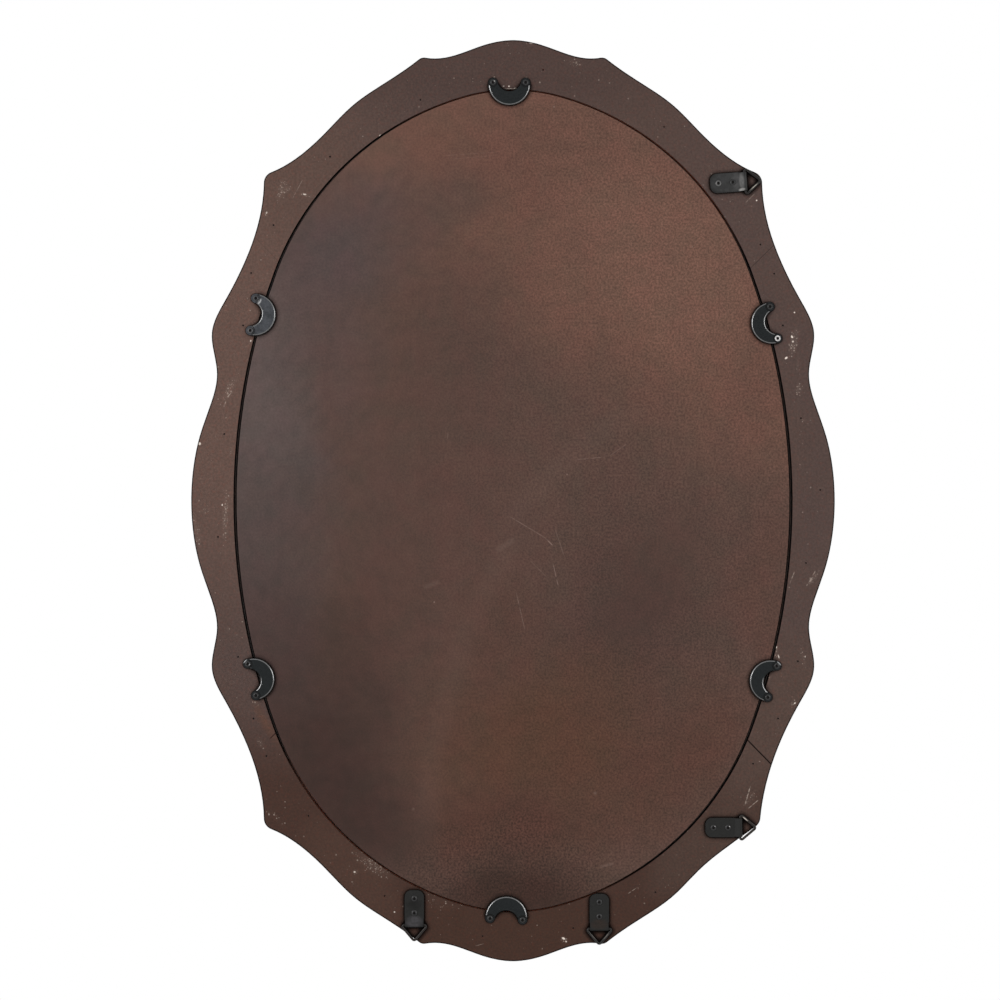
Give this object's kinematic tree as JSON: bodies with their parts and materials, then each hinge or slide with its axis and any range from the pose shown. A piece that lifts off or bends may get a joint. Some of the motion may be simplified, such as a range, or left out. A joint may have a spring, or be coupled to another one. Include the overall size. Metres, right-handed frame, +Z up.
{
  "type": "wall mirror",
  "caption": "Oval wall mirror in a scalloped wooden frame, with a backing board held by crescent clips and folded strap hangers with swinging wire rings.",
  "frame": {"origin": "middle of the frame's flat back face", "axes": "+Z up as pictured, +Y out of the back towards the wall, so the glass faces -Y"},
  "size_m": [0.7684, 0.0364, 1.0998],
  "materials": {
    "back_paint": "dark brown paint over wood, matt, scuffed",
    "front_wood": "dark brown stain, satin",
    "silvered_glass": "silvered float glass",
    "hardboard": "speckled red-brown hardboard, matt",
    "brad_steel": "dull steel, sunk",
    "clip_black": "black japanned, satin",
    "screw_black": "black oxide",
    "strap_black": "black satin paint, rubbed at the fold",
    "ring_black": "black wire, rubbed"
  },
  "bodies": {
    "frame": {"back_top": "back_paint", "back_left": "back_paint", "back_bottom": "back_paint", "back_right": "back_paint", "front_upper_left": "front_wood", "front_lower_left": "front_wood", "front_lower_right": "front_wood", "front_upper_right": "front_wood", "mirror_glass": "silvered_glass", "backing_board": "hardboard", "frame_brads": "brad_steel", "clip_top": "clip_black", "clip_bottom": "clip_black", "clip_upper_left": "clip_black", "clip_upper_right": "clip_black", "clip_lower_left": "clip_black", "clip_lower_right": "clip_black", "clip_screws": "screw_black", "hanger_strap_bottom_left": "strap_black", "hanger_strap_bottom_right": "strap_black", "hanger_strap_right_upper": "strap_black", "hanger_strap_right_lower": "strap_black", "hanger_screws": "screw_black"},
    "ring_bottom_left": {"hanger_ring_bottom_left": "ring_black"},
    "ring_bottom_right": {"hanger_ring_bottom_right": "ring_black"},
    "ring_right_upper": {"hanger_ring_right_upper": "ring_black"},
    "ring_right_lower": {"hanger_ring_right_lower": "ring_black"}
  },
  "joints": [
    {"name": "ring_bottom_left_swing", "type": "hinge", "parent": "frame", "child": "ring_bottom_left", "pos_m": [0.11779, 0.0027, -0.50615], "axis": [1, 0, 0], "range_deg": [0, 150]},
    {"name": "ring_bottom_right_swing", "type": "hinge", "parent": "frame", "child": "ring_bottom_right", "pos_m": [-0.10293, 0.0027, -0.51045], "axis": [1, 0, 0], "range_deg": [0, 150]},
    {"name": "ring_right_upper_swing", "type": "hinge", "parent": "frame", "child": "ring_right_upper", "pos_m": [-0.27665, 0.0027, 0.38078], "axis": [-0.0698, 0, -0.9976], "range_deg": [0, 150]},
    {"name": "ring_right_lower_swing", "type": "hinge", "parent": "frame", "child": "ring_right_lower", "pos_m": [-0.27097, 0.0027, -0.38987], "axis": [0, 0, -1], "range_deg": [0, 150]}
  ]
}
